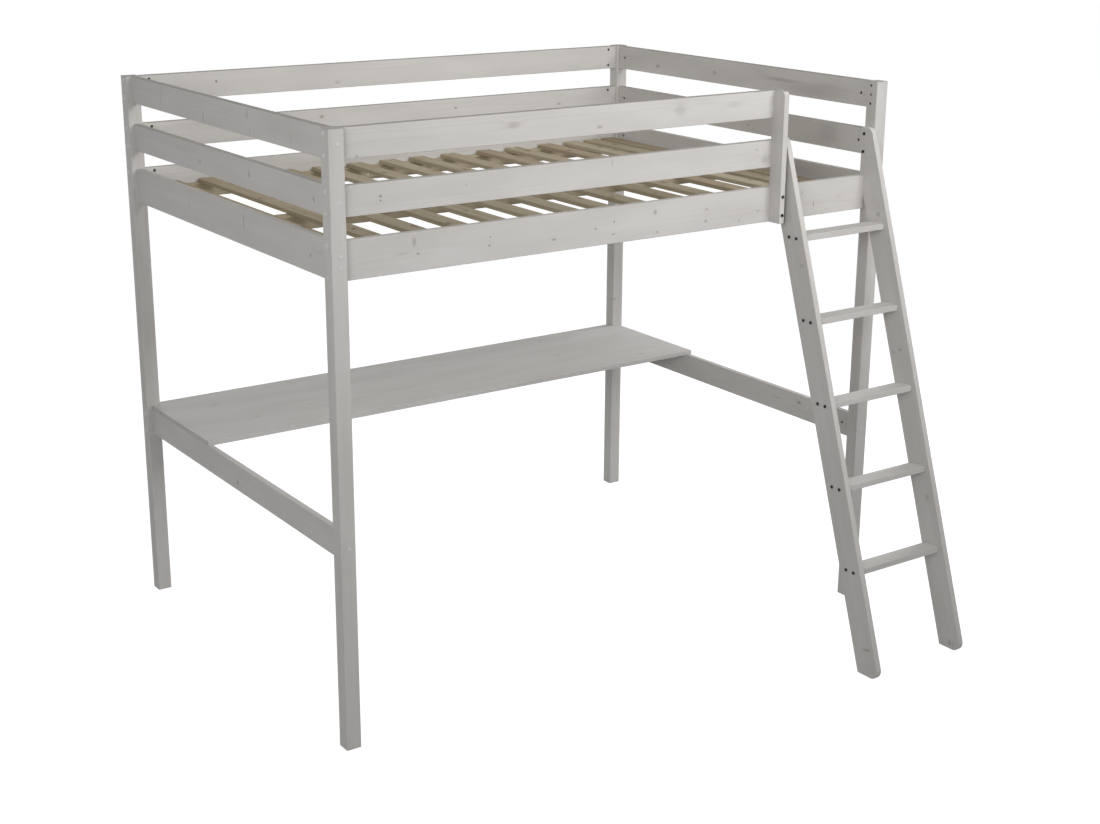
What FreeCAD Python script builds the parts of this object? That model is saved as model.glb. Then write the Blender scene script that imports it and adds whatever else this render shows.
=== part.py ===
import FreeCAD, Part
import math
import os
import re
from collections import defaultdict
from types import SimpleNamespace

from FreeCAD import Placement, Rotation, Vector

# Sizes of the loft bed, in millimetres and degrees. Each is set once, here.
SIZES = {
    # Frame, over the posts
    "bed_length": 2080,
    "bed_width": 1480,
    "bed_height": 1840,
    "post_width": 48,
    "post_round": 3,
    # Planks that the rails, treads, stiles and guard post are cut from
    "board_thickness": 20,
    "board_round": 2,
    # Rails: how far they stand in from the posts' outer faces, heights and gaps
    "rail_inset": 18,
    "guard_rail_height": 88,
    "bed_rail_height": 114,
    "desk_rail_height": 88,
    "upper_gap": 70,
    "lower_gap": 63,
    # Slat deck: ledgers on the long rails, beam along the middle, cleats under its ends
    "ledger_width": 25,
    "ledger_height": 48,
    "ledger_clearance": 2,
    "beam_width": 48,
    "cleat_depth": 25,
    "cleat_height": 24,
    "cleat_width": 120,
    "cleat_clearance": 1,
    "slat_width": 60,
    "slat_thickness": 14,
    "slat_clearance": 4,
    # Desk: its rails' lower edge over the floor, its panel and the steel angles under it
    "desk_rail_floor": 592,
    "desk_depth": 508,
    "desk_thickness": 16,
    "desk_round": 1.5,
    "desk_clearance": 1,
    "bracket_leg": 30,
    "bracket_width": 20,
    "bracket_thickness": 2,
    # Ladder: lean in degrees, rise of its head over the middle guard rail, hook over the bed rail, treads
    "ladder_width": 402,
    "ladder_lean": 18.3,
    "head_rise": 8,
    "hook_drop": 70,
    "stile_width": 93,
    "stile_foot_round": 30,
    "stile_head_round": 28,
    "lowest_tread": 333,
    "tread_rise": 260,
    "tread_depth": 58,
    "tread_screw_spread": 34,
    # Guard post beside the way in: set back from the ends of the rails and let over their outer faces
    "guard_post_depth": 57,
    "guard_post_round": 15,
    "guard_setback": 16,
    "guard_housing": 7,
    "guard_screw_spread": 30,
    "guard_foot_spread": 60,
    # Frame bolts, their barrel nuts, dowels and caps
    "bolt_radius": 3,
    "bolt_head_radius": 5,
    "bolt_head_height": 6,
    "bolt_tip": 8,
    "counterbore_depth": 10,
    "nut_radius": 5,
    "nut_setback": 36,
    "nut_cover": 3,
    "dowel_radius": 4,
    "dowel_length": 28,
    "dowel_wall": 5.7,
    "dowel_play": 1,
    "cap_lip": 1.2,
    "cap_flange": 1.2,
    "cap_round": 0.8,
    "cap_gap": 1,
    # Bolts and dowels from the edges of their rail, and the end bed rails' bolts from each other
    "bolt_edge": 14,
    "bed_bolt_edge": 12,
    "end_bolt_spread": 30,
    "end_dowel_edge": 14,
    "end_bed_dowel_edge": 19,
    # Socket-headed screws of the ladder and the guard post
    "socket_head_radius": 5.5,
    "socket_head_height": 3,
    "socket_radius": 2.8,
    "socket_depth": 2,
    "tread_screw_length": 66,
    "screw_cover": 4,
    "ladder_nut_height": 5,
    # Countersunk wood screws, and the small screws of the steel angles
    "wood_screw_radius": 2,
    "wood_screw_length": 35,
    "wood_screw_head_radius": 4,
    "wood_screw_head_height": 2.5,
    "small_screw_radius": 1.6,
    "small_screw_length": 12,
    "small_screw_head_radius": 3.2,
    "small_screw_head_height": 1.8,
    # Room round a fastener in its hole, and how far a cutting shape runs past a face
    "hole_clearance": 0.3,
    "overrun": 5,
}

# Gaps before each slat, as shares of the ledger's length that the slats leave free.
# The slats are spaced by eye and lie uneven.
SLAT_GAP_SHARES = (
    0.0519, 0.0685, 0.0879, 0.0769, 0.0727, 0.0741, 0.0713, 0.0602,
    0.0713, 0.0917, 0.063, 0.088, 0.0565, 0.0366, 0.0231,
)
# Screws along a ledger and angles along a rear desk rail, as shares of half the length from the middle
LEDGER_SCREW_SHARES = (-0.9, -0.5, -0.15, 0.15, 0.5, 0.9)
REAR_BRACKET_SHARES = (-0.5, 0, 0.5)
# Angles along an end desk rail, as shares of the desk's depth from its front edge
END_BRACKET_SHARES = (0.2, 0.7)
# Screws across a cleat and along a ledger's height
CLEAT_SCREW_SHARES = (-0.75, 0.75)
LEDGER_SCREW_HEIGHT_SHARE = 0.38

ALONG_X = Vector(1, 0, 0)
ALONG_Y = Vector(0, 1, 0)
UP = Vector(0, 0, 1)

doc = FreeCAD.newDocument("loft_bed")
sheet = doc.addObject("Spreadsheet::Sheet", "Sizes")
for row, (name, value) in enumerate(SIZES.items(), start=1):
    sheet.set(f"A{row}", name)
    sheet.set(f"B{row}", str(value))
    sheet.setAlias(f"B{row}", name)
doc.recompute()
size = SimpleNamespace(**SIZES)

# Faces and middle lines of the frame, measured from the middle between the four posts
half_board = size.board_thickness / 2
half_length = size.bed_length / 2
half_width = size.bed_width / 2
post_inner_x = half_length - size.post_width
post_inner_y = half_width - size.post_width
long_line = half_width - size.rail_inset - half_board
end_line = half_length - size.rail_inset - half_board
long_inner = long_line - half_board
end_inner = end_line - half_board
long_outer = long_line + half_board

# Heights over the floor
top_level = size.bed_height - size.guard_rail_height / 2
mid_level = top_level - size.guard_rail_height - size.upper_gap
bed_rail_top = mid_level - size.guard_rail_height / 2 - size.lower_gap
bed_level = bed_rail_top - size.bed_rail_height / 2
bed_rail_floor = bed_rail_top - size.bed_rail_height
deck_floor = bed_rail_floor + size.ledger_height
deck_top = deck_floor + size.slat_thickness
desk_level = size.desk_rail_floor + size.desk_rail_height / 2
desk_floor = size.desk_rail_floor + size.desk_rail_height

# Ladder: its stiles' back edges meet the front bed rail's outer face a little below the rail's top
lean = math.radians(size.ladder_lean)
slope = math.tan(lean)
ladder_left = post_inner_x - size.ladder_width
ladder_height = mid_level + size.guard_rail_height / 2 + size.head_rise
foot_back = -long_outer - slope * (bed_rail_top - size.hook_drop)
stile_run = size.stile_width / math.cos(lean)
foot_front = foot_back - stile_run
toe = foot_front + size.stile_foot_round * ((1 + math.sin(lean)) / math.cos(lean) - 1)

# The bed stands with the middle of its whole footprint, ladder and caps included, at the origin
bed_shift = -(toe + half_width + size.cap_flange) / 2

# Dowels end in the post a little before the bolts that cross their way
way_across = size.post_width - size.rail_inset - half_board - size.bolt_radius - size.hole_clearance
dowel_in_post = way_across - size.dowel_wall - size.dowel_play

boards = {}
drilled = defaultdict(list)
fastened = defaultdict(list)


def at(x, y, z):
    """A point given from the middle between the posts, in the bed's own frame."""
    return Vector(x, y + bed_shift, z)


def spot(point, along, across=None):
    """A place whose own Z points along, and whose own X points across."""
    if across is None:
        return Placement(point, Rotation(UP, along))
    return Placement(point, Rotation(across, Vector(), along, "ZXY"))


def bind(thing, prop, formula):
    """Ties one property of a thing to a formula of named sizes."""
    words = re.sub(r"[a-z]+_\w+|overrun", lambda word: f"Sizes.{word[0]}", formula)
    thing.setExpression(prop, words)


def box(name, across_x, across_y, across_z, corner):
    block = doc.addObject("Part::Box", name)
    bind(block, "Length", across_x)
    bind(block, "Width", across_y)
    bind(block, "Height", across_z)
    block.Placement.Base = corner
    return block


def rod(name, radius, height, start=0):
    """An upright cylinder from the height start."""
    turned = doc.addObject("Part::Cylinder", name)
    bind(turned, "Radius", radius)
    bind(turned, "Height", height)
    turned.Placement.Base = UP * start
    return turned


def cone(name, low_radius, high_radius, height, start=0):
    tapered = doc.addObject("Part::Cone", name)
    bind(tapered, "Radius1", low_radius)
    bind(tapered, "Radius2", high_radius)
    bind(tapered, "Height", height)
    tapered.Placement.Base = UP * start
    return tapered


def fused(name, *pieces):
    whole = doc.addObject("Part::MultiFuse", name)
    whole.Shapes = list(pieces)
    return whole


def cut(name, base, tool):
    rest = doc.addObject("Part::Cut", name)
    rest.Base = base
    rest.Tool = tool
    return rest


def gathered(name, copies):
    """Copies of finished shapes, each at its own place, as one group of separate solids."""
    group = doc.addObject("Part::Compound", name)
    links = []
    for number, (master, place) in enumerate(copies, start=1):
        link = doc.addObject("App::Link", f"{name}_{number}")
        link.LinkedObject = master
        link.Placement = place
        links.append(link)
    group.Links = links
    return group


def edges_along(base, direction):
    """Numbers of the straight edges that run in a direction."""
    doc.recompute()
    found = []
    for number, edge in enumerate(base.Shape.Edges, start=1):
        if edge.Curve.TypeId == "Part::GeomLine":
            if abs(edge.tangentAt(edge.FirstParameter).dot(direction)) > math.cos(math.radians(1)):
                found.append(number)
    return found


def edge_nearest(base, point):
    """Number of the edge whose middle lies nearest to a point."""
    doc.recompute()
    away = [edge.CenterOfMass.distanceToPoint(point) for edge in base.Shape.Edges]
    return away.index(min(away)) + 1


def rounded(name, base, rounds):
    """The base with some of its edges rounded: pairs of an edge's number and its radius."""
    smooth = doc.addObject("Part::Fillet", name)
    smooth.Base = base
    smooth.Edges = [(number, radius, radius) for number, radius in rounds]
    return smooth


def board(label, sizes, corner, grain, radius=size.board_round):
    """A plank with its long edges eased, kept until its holes are known."""
    blank = box(f"{label}_blank", *sizes, corner)
    eased = [(number, radius) for number in edges_along(blank, grain)]
    boards[label] = rounded(f"{label}_plank", blank, eased)


def fasten(group, master, place):
    fastened[group].append((master, place))


def bore(drill, place, *labels):
    for label in labels:
        drilled[label].append((drill, place))


# Fasteners lie along their own Z, with the seat of the head at zero and the head below it.
# Each has a drill, the same shape with room round it, that makes its hole.

FRAME_BOLT_LENGTH = "post_width - counterbore_depth + nut_setback + bolt_tip"
GUARD_SCREW_LENGTH = "guard_post_depth - guard_housing + board_thickness - screw_cover"
RAIL_BOLT_LENGTH = "board_thickness + nut_setback + bolt_tip"
POST_BOLT_LENGTH = "board_thickness + post_width - counterbore_depth + ladder_nut_height"


def hex_socket(name, head_height):
    """The six-sided recess of a head, sunk from the head's end."""
    recess = doc.addObject("Part::Prism", name)
    recess.Polygon = 6
    bind(recess, "Circumradius", "socket_radius")
    bind(recess, "Height", "socket_depth + overrun")
    recess.Placement.Base = UP * (-head_height - size.overrun)
    return recess


def socket_bolt(name, length, head_radius, head_height):
    """A round-headed bolt with a hex socket. The head's sizes are names of sizes."""
    tall = SIZES[head_height]
    head = rod(f"{name}_head", head_radius, head_height, -tall)
    shank = rod(f"{name}_shank", "bolt_radius", length)
    whole = fused(f"{name}_body", head, shank)
    return cut(name, whole, hex_socket(f"{name}_socket", tall))


def shank_drill(name, length):
    """A plain hole for a bolt, a little longer than the bolt."""
    return rod(name, "bolt_radius + hole_clearance", f"{length} + overrun", -size.overrun)


frame_bolt = socket_bolt("frame_bolt", FRAME_BOLT_LENGTH, "bolt_head_radius", "bolt_head_height")
frame_bolt_drill = fused(
    "frame_bolt_drill",
    rod("frame_bolt_way", "bolt_radius + hole_clearance", f"{FRAME_BOLT_LENGTH} + bolt_tip"),
    rod(
        "frame_bolt_counterbore",
        "bolt_head_radius + hole_clearance",
        "counterbore_depth + overrun",
        -size.counterbore_depth - size.overrun,
    ),
)

barrel_nut = cut(
    "barrel_nut",
    rod("barrel_nut_body", "nut_radius", "board_thickness - 2 * nut_cover"),
    rod("barrel_nut_thread", "bolt_radius + hole_clearance", "2 * nut_radius + 2 * overrun"),
)
barrel_nut.Tool.Placement = spot(
    Vector(-size.nut_radius - size.overrun, 0, half_board - size.nut_cover), ALONG_X
)
barrel_nut_drill = rod(
    "barrel_nut_drill",
    "nut_radius + hole_clearance",
    "board_thickness - nut_cover + overrun",
)

dowel = rod("dowel", "dowel_radius", "dowel_length", -dowel_in_post)
dowel_drill = rod(
    "dowel_drill",
    "dowel_radius + hole_clearance",
    "dowel_length + 2 * dowel_play",
    -dowel_in_post - size.dowel_play,
)

cap_flange = rod(
    "cap_flange_blank",
    "bolt_head_radius + hole_clearance + cap_lip",
    "cap_flange",
    -size.cap_flange,
)
cap_rim = edge_nearest(cap_flange, UP * -size.cap_flange)
bolt_cap = fused(
    "bolt_cap",
    rounded("cap_flange_eased", cap_flange, [(cap_rim, size.cap_round)]),
    rod("cap_plug", "bolt_head_radius", "counterbore_depth - bolt_head_height - cap_gap"),
)

tread_screw = socket_bolt("tread_screw", "tread_screw_length", "socket_head_radius", "socket_head_height")
tread_screw_drill = shank_drill("tread_screw_drill", "tread_screw_length + dowel_play")
guard_screw = socket_bolt("guard_screw", GUARD_SCREW_LENGTH, "socket_head_radius", "socket_head_height")
guard_screw_drill = shank_drill("guard_screw_drill", f"{GUARD_SCREW_LENGTH} + dowel_play")
rail_bolt = socket_bolt("rail_bolt", RAIL_BOLT_LENGTH, "socket_head_radius", "socket_head_height")
rail_bolt_drill = shank_drill("rail_bolt_drill", f"{RAIL_BOLT_LENGTH} + bolt_tip")
post_bolt = socket_bolt("post_bolt", POST_BOLT_LENGTH, "socket_head_radius", "socket_head_height")
post_bolt_drill = shank_drill("post_bolt_drill", POST_BOLT_LENGTH)
ladder_nut = cut(
    "ladder_nut",
    rod("ladder_nut_body", "bolt_head_radius", "ladder_nut_height"),
    rod(
        "ladder_nut_thread",
        "bolt_radius + hole_clearance",
        "ladder_nut_height + 2 * overrun",
        -size.overrun,
    ),
)


def countersunk(name, room):
    """A wood screw, its head flush with zero and its point along Z, with room all round it."""
    head = cone(
        f"{name}_head",
        f"wood_screw_head_radius{room}",
        f"wood_screw_radius{room}",
        "wood_screw_head_height",
    )
    return fused(name, head, rod(f"{name}_shank", f"wood_screw_radius{room}", "wood_screw_length"))


wood_screw = countersunk("wood_screw", "")
wood_screw_drill = fused(
    "wood_screw_drill",
    countersunk("wood_screw_way", " + hole_clearance"),
    rod("wood_screw_mouth", "wood_screw_head_radius + hole_clearance", "overrun", -size.overrun),
    rod("wood_screw_end", "wood_screw_radius + hole_clearance", "wood_screw_length + dowel_play"),
)

small_screw = fused(
    "small_screw",
    rod(
        "small_screw_head",
        "small_screw_head_radius",
        "small_screw_head_height",
        -size.small_screw_head_height,
    ),
    rod("small_screw_shank", "small_screw_radius", "small_screw_length"),
)
small_screw_drill = rod(
    "small_screw_drill",
    "small_screw_radius + hole_clearance",
    "small_screw_length + dowel_play + overrun",
    -size.overrun,
)


# Posts

for across, side_x in (("left", -1), ("right", 1)):
    for deep, side_y in (("front", -1), ("rear", 1)):
        x = min(side_x * half_length, side_x * post_inner_x)
        y = min(side_y * half_width, side_y * post_inner_y)
        sizes = ("post_width", "post_width", "bed_height")
        board(f"post_{deep}_{across}", sizes, at(x, y, 0), UP, size.post_round)


# Rails between the posts, with their bolts, barrel nuts, dowels and caps


def pair(spread):
    """Two offsets either side of a middle."""
    return (-spread / 2, spread / 2)


def near_edges(height, edge):
    """Two offsets from a rail's middle, each a distance in from one of its edges."""
    return pair(SIZES[height] - 2 * edge)


def bolt_hole(post, outer, inward, level, *labels):
    """A bolt's hole through a post from its outer face, and on into the pieces named."""
    place = spot(outer + UP * level + inward * size.counterbore_depth, inward)
    bore(frame_bolt_drill, place, post, *labels)
    return place


def cap_over(outer, inward, level):
    fasten("bolt_caps", bolt_cap, spot(outer + UP * level, inward))


def nut_in(rail, end, inward, facing, level):
    """A barrel nut in a rail, set back from the rail's end and sunk from its inner face."""
    sunk = size.board_thickness - size.nut_cover - half_board
    place = spot(end + UP * level + inward * size.nut_setback - facing * sunk, facing, inward)
    fasten("barrel_nuts", barrel_nut, place)
    bore(barrel_nut_drill, place, rail)


def join(rail, post, outer, inward, facing, level, bolts, dowels):
    """Joins a rail's end to a post.

    The point outer lies on the post's outer face at the floor, on the rail's middle line.
    The way inward runs from it along the rail, and facing is where the rail's inner face looks.
    """
    end = outer + inward * size.post_width
    for offset in bolts:
        place = bolt_hole(post, outer, inward, level + offset, rail)
        fasten("frame_bolts", frame_bolt, place)
        cap_over(outer, inward, level + offset)
        nut_in(rail, end, inward, facing, level + offset)
    for offset in dowels:
        place = spot(end + UP * (level + offset), inward)
        fasten("dowels", dowel, place)
        bore(dowel_drill, place, post, rail)


long_rails = (
    ("top", top_level, "guard_rail_height", size.bolt_edge),
    ("mid", mid_level, "guard_rail_height", size.bolt_edge),
    ("bed", bed_level, "bed_rail_height", size.bed_bolt_edge),
    ("desk", desk_level, "desk_rail_height", size.bolt_edge),
)
for name, level, height, edge in long_rails:
    for deep, side_y in (("front", -1), ("rear", 1)):
        open_end = deep == "front" and name in ("top", "mid")
        if deep == "front" and name == "desk":
            continue
        label = f"{deep}_{name}_rail"
        length = "bed_length - 2 * post_width"
        if open_end:
            length += " - ladder_width"
        corner = at(-post_inner_x, side_y * long_line - half_board, level - SIZES[height] / 2)
        board(label, (length, "board_thickness", height), corner, ALONG_X)
        facing = ALONG_Y * -side_y
        for across, side_x in (("left", -1), ("right", 1)):
            if open_end and across == "right":
                continue
            outer = at(side_x * half_length, side_y * long_line, 0)
            bolts = near_edges(height, edge)
            join(label, f"post_{deep}_{across}", outer, ALONG_X * -side_x, facing, level, bolts, (0,))

end_rails = (
    ("top", top_level, "guard_rail_height", (0,), size.end_dowel_edge),
    ("mid", mid_level, "guard_rail_height", (0,), size.end_dowel_edge),
    ("bed", bed_level, "bed_rail_height", pair(size.end_bolt_spread), size.end_bed_dowel_edge),
    ("desk", desk_level, "desk_rail_height", (0,), size.end_dowel_edge),
)
for name, level, height, bolts, edge in end_rails:
    for across, side_x in (("left", -1), ("right", 1)):
        label = f"{across}_{name}_rail"
        corner = at(side_x * end_line - half_board, -post_inner_y, level - SIZES[height] / 2)
        board(label, ("board_thickness", "bed_width - 2 * post_width", height), corner, ALONG_Y)
        facing = ALONG_X * -side_x
        for deep, side_y in (("front", -1), ("rear", 1)):
            outer = at(side_x * end_line, side_y * half_width, 0)
            dowels = near_edges(height, edge)
            join(label, f"post_{deep}_{across}", outer, ALONG_Y * -side_y, facing, level, bolts, dowels)

# The front right post is drilled like the others. Its upper holes are spare and stay open.
spare_outer = at(half_length, -long_line, 0)
guard_bolts = near_edges("guard_rail_height", size.bolt_edge)
for level in (top_level, mid_level):
    for offset in guard_bolts:
        bolt_hole("post_front_right", spare_outer, -ALONG_X, level + offset)
    spare_end = spare_outer - ALONG_X * size.post_width
    bore(dowel_drill, spot(spare_end + UP * level, -ALONG_X), "post_front_right")


# Slat deck

ledger_length = "bed_length - 2 * post_width - 2 * ledger_clearance"
ledger_end = post_inner_x - size.ledger_clearance
for deep, side_y in (("front", -1), ("rear", 1)):
    label = f"{deep}_slat_ledger"
    inner_face = side_y * (long_inner - size.ledger_width)
    corner = at(-ledger_end, min(inner_face, side_y * long_inner), bed_rail_floor)
    board(label, (ledger_length, "ledger_width", "ledger_height"), corner, ALONG_X)
    for share in LEDGER_SCREW_SHARES:
        height = bed_rail_floor + LEDGER_SCREW_HEIGHT_SHARE * size.ledger_height
        place = spot(at(share * ledger_end, inner_face, height), ALONG_Y * side_y)
        fasten("board_screws", wood_screw, place)
        bore(wood_screw_drill, place, label, f"{deep}_bed_rail")

beam_corner = at(-end_inner, -size.beam_width / 2, bed_rail_floor)
beam_length = "bed_length - 2 * rail_inset - 2 * board_thickness"
board("beam_bar", (beam_length, "beam_width", "ledger_height"), beam_corner, ALONG_X)
rabbets = []
for across, side_x in (("left", -1), ("right", 1)):
    label = f"{across}_beam_cleat"
    cleat_inner = side_x * (end_inner - size.cleat_depth)
    corner = at(min(cleat_inner, side_x * end_inner), -size.cleat_width / 2, bed_rail_floor)
    board(label, ("cleat_depth", "cleat_width", "cleat_height"), corner, ALONG_Y)
    for share in CLEAT_SCREW_SHARES:
        point = at(cleat_inner, share * size.cleat_width / 2, bed_rail_floor + size.cleat_height / 2)
        place = spot(point, ALONG_X * side_x)
        fasten("board_screws", wood_screw, place)
        bore(wood_screw_drill, place, label, f"{across}_bed_rail")
    rabbet_inner = cleat_inner - side_x * size.cleat_clearance
    rabbet_outer = side_x * (end_inner + size.overrun)
    rabbets.append(
        box(
            f"{across}_rabbet",
            "cleat_depth + cleat_clearance + overrun",
            "beam_width + 2 * overrun",
            "cleat_height + overrun",
            at(
                min(rabbet_inner, rabbet_outer),
                -size.beam_width / 2 - size.overrun,
                bed_rail_floor - size.overrun,
            ),
        )
    )
boards["centre_beam"] = cut("beam_rabbeted", boards.pop("beam_bar"), fused("rabbets", *rabbets))

slat_length = "bed_width - 2 * rail_inset - 2 * board_thickness - 2 * slat_clearance"
slat_sizes = ("slat_width", slat_length, "slat_thickness")
slat_end = long_inner - size.slat_clearance
free_length = 2 * ledger_end - len(SLAT_GAP_SHARES) * size.slat_width
slat_left = -ledger_end
for number, share in enumerate(SLAT_GAP_SHARES, start=1):
    slat_left += share * free_length
    label = f"slat_{number:02d}"
    board(label, slat_sizes, at(slat_left, -slat_end, deck_floor), ALONG_Y)
    for deep, side_y in (("front", -1), ("rear", 1)):
        over_ledger = side_y * (long_inner - size.ledger_width / 2)
        place = spot(at(slat_left + size.slat_width / 2, over_ledger, deck_top), -UP)
        fasten("slat_screws", wood_screw, place)
        bore(wood_screw_drill, place, label, f"{deep}_slat_ledger")
    slat_left += size.slat_width


# Guard post: stands before the front guard rails and the bed rail, which are let into its back edge

guard_back = -long_outer + size.guard_housing
guard_front = guard_back - size.guard_post_depth
guard_middle = ladder_left - size.guard_setback - half_board
guard_height = "2 * guard_rail_height + upper_gap + lower_gap + bed_rail_height"
guard_blank = box(
    "guard_post_blank",
    "board_thickness",
    "guard_post_depth",
    guard_height,
    at(guard_middle - half_board, guard_front, bed_rail_floor),
)
crown = edge_nearest(guard_blank, at(guard_middle, guard_front, size.bed_height))
guard_crowned = rounded("guard_post_crowned", guard_blank, [(crown, size.guard_post_round)])
guard_eased = [(number, size.board_round) for number in edges_along(guard_crowned, UP)]
guard_plank = rounded("guard_post_plank", guard_crowned, guard_eased)
housings = []
for name, level, height in (
    ("top", top_level, "guard_rail_height"),
    ("mid", mid_level, "guard_rail_height"),
    ("bed", bed_level, "bed_rail_height"),
):
    housing = box(
        f"{name}_housing",
        "board_thickness + 2 * overrun",
        "guard_housing + overrun",
        height,
        at(guard_middle - half_board - size.overrun, -long_outer, level - SIZES[height] / 2),
    )
    housings.append(housing)
boards["guard_post"] = cut("guard_post_housed", guard_plank, fused("housings", *housings))

for offset in pair(size.guard_foot_spread):
    place = spot(at(guard_middle, guard_front, bed_level + offset), ALONG_Y)
    fasten("connector_screws", guard_screw, place)
    bore(guard_screw_drill, place, "guard_post", "front_bed_rail")
for name, level in (("top", top_level), ("mid", mid_level)):
    for offset in pair(size.guard_screw_spread):
        place = spot(at(guard_middle, -long_inner, level + offset), -ALONG_Y)
        fasten("board_screws", wood_screw, place)
        bore(wood_screw_drill, place, "guard_post", f"front_{name}_rail")


# Ladder: leaning plank stiles, cut level at the floor and the head and hooked over the front bed rail

LADDER_HEIGHT = "bed_height - guard_rail_height - upper_gap + head_rise"


def stile_plank(label, left):
    """A stile with its foot, head, hook and back trimmed and its front corners rounded."""
    leaning = Rotation(ALONG_X, -size.ladder_lean)
    raw = box(
        f"{label}_blank",
        "board_thickness",
        "stile_width",
        f"({LADDER_HEIGHT}) / cos(ladder_lean * 1deg) + 2 * stile_width",
        at(left, foot_back, 0) + leaning.multVec(Vector(0, -size.stile_width, -size.stile_width)),
    )
    raw.Placement.Rotation = leaning
    wide = "board_thickness + 2 * overrun"
    edge = left - size.overrun
    below = at(edge, foot_back - size.bed_height, -size.bed_height)
    above = at(edge, foot_back - size.bed_height, ladder_height)
    trims = (
        box(f"{label}_floor", wide, "2 * bed_height", "bed_height", below),
        box(f"{label}_head", wide, "2 * bed_height", "bed_height", above),
        box(f"{label}_back", wide, "bed_height", "2 * bed_height", at(edge, -long_inner, 0)),
        box(
            f"{label}_hook",
            wide,
            "bed_height",
            "bed_height - 2 * guard_rail_height - upper_gap - lower_gap",
            at(edge, -long_outer, 0),
        ),
    )
    trimmed = cut(f"{label}_trimmed", raw, fused(f"{label}_trims", *trims))
    middle = left + half_board
    foot = edge_nearest(trimmed, at(middle, foot_front, 0))
    head_front = foot_front + slope * ladder_height
    head = edge_nearest(trimmed, at(middle, head_front, ladder_height))
    corners = [(foot, size.stile_foot_round), (head, size.stile_head_round)]
    shaped = rounded(f"{label}_shaped", trimmed, corners)
    eased = [(number, size.board_round) for number in edges_along(shaped, leaning.multVec(UP))]
    return rounded(f"{label}_plank", shaped, eased)


stile_lefts = (("left_stile", ladder_left), ("right_stile", post_inner_x - size.board_thickness))
for label, left in stile_lefts:
    boards[label] = stile_plank(label, left)

tread_left = ladder_left + size.board_thickness
screwed_from = (("left_stile", ladder_left, ALONG_X), ("right_stile", post_inner_x, -ALONG_X))
treads = 1 + int((bed_rail_floor - half_board - size.lowest_tread) // size.tread_rise)
for number in range(treads):
    label = f"tread_{number + 1}"
    level = size.lowest_tread + number * size.tread_rise
    middle_y = foot_back + slope * level - stile_run / 2
    corner = at(tread_left, middle_y - size.tread_depth / 2, level - half_board)
    board(label, ("ladder_width - 2 * board_thickness", "tread_depth", "board_thickness"), corner, ALONG_X)
    for offset in pair(size.tread_screw_spread):
        for stile, x, way in screwed_from:
            place = spot(at(x, middle_y + offset, level), way)
            fasten("connector_screws", tread_screw, place)
            bore(tread_screw_drill, place, stile, label)

# The ladder's head is bolted to the end of the middle guard rail and through the front right post
mid_end = at(ladder_left, -long_line, 0)
for offset in guard_bolts:
    height = mid_level + offset
    place = spot(mid_end + ALONG_X * size.board_thickness + UP * height, -ALONG_X)
    fasten("ladder_bolts", rail_bolt, place)
    bore(rail_bolt_drill, place, "left_stile", "front_mid_rail")
    nut_in("front_mid_rail", mid_end, -ALONG_X, ALONG_Y, height)
    place = spot(at(post_inner_x - size.board_thickness, -long_line, height), ALONG_X)
    fasten("ladder_bolts", post_bolt, place)
    bore(post_bolt_drill, place, "right_stile")
    seat = spare_outer + UP * height - ALONG_X * size.counterbore_depth
    fasten("ladder_nuts", ladder_nut, spot(seat, ALONG_X))
    cap_over(spare_outer, -ALONG_X, height)


# Desk top: lies on the desk rails, notched round the rear posts and held by steel angles

desk_front = long_outer - size.desk_depth
desk_end = half_length - size.rail_inset
desk_sizes = ("bed_length - 2 * rail_inset", "desk_depth", "desk_thickness")
board("desk_panel", desk_sizes, at(-desk_end, desk_front, desk_floor), ALONG_X, size.desk_round)
notch_side = "post_width - rail_inset + desk_clearance + overrun"
notches = []
for across, side_x in (("left", -1), ("right", 1)):
    notch_inner = side_x * (post_inner_x - size.desk_clearance)
    notch_outer = side_x * (desk_end + size.overrun)
    corner = at(
        min(notch_inner, notch_outer),
        post_inner_y - size.desk_clearance,
        desk_floor - size.overrun,
    )
    notches.append(
        box(f"{across}_notch", notch_side, notch_side, "desk_thickness + 2 * overrun", corner)
    )
boards["desk_top"] = cut("desk_notched", boards.pop("desk_panel"), fused("notches", *notches))

# The angle's corner lies at its own origin, one leg along its X under the desk, the other down its rail
angle_blank = fused(
    "angle_blank",
    box(
        "angle_desk_leg",
        "bracket_leg",
        "bracket_width",
        "bracket_thickness",
        Vector(0, -size.bracket_width / 2, -size.bracket_thickness),
    ),
    box(
        "angle_rail_leg",
        "bracket_thickness",
        "bracket_width",
        "bracket_leg",
        Vector(0, -size.bracket_width / 2, -size.bracket_leg),
    ),
)
leg_middle = (size.bracket_leg + size.bracket_thickness) / 2
angle_seats = (
    spot(Vector(leg_middle, 0, -size.bracket_thickness), UP),
    spot(Vector(size.bracket_thickness, 0, -leg_middle), -ALONG_X),
)
angle_holes = gathered("angle_holes", [(small_screw_drill, seat) for seat in angle_seats])
desk_angle = cut("desk_angle", angle_blank, angle_holes)

angle_places = []
for share in REAR_BRACKET_SHARES:
    angle_places.append(("rear_desk_rail", at(share * post_inner_x, long_inner, desk_floor), -ALONG_Y))
for across, side_x in (("left", -1), ("right", 1)):
    for share in END_BRACKET_SHARES:
        point = at(side_x * end_inner, desk_front + share * size.desk_depth, desk_floor)
        angle_places.append((f"{across}_desk_rail", point, ALONG_X * -side_x))
for rail, point, facing in angle_places:
    place = spot(point, UP, facing)
    fasten("desk_brackets", desk_angle, place)
    for piece, seat in zip(("desk_top", rail), angle_seats):
        fasten("bracket_screws", small_screw, place.multiply(seat))
        bore(small_screw_drill, place.multiply(seat), piece)


# Finished pieces: each plank with its holes, and each kind of fastener as one group

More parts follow.
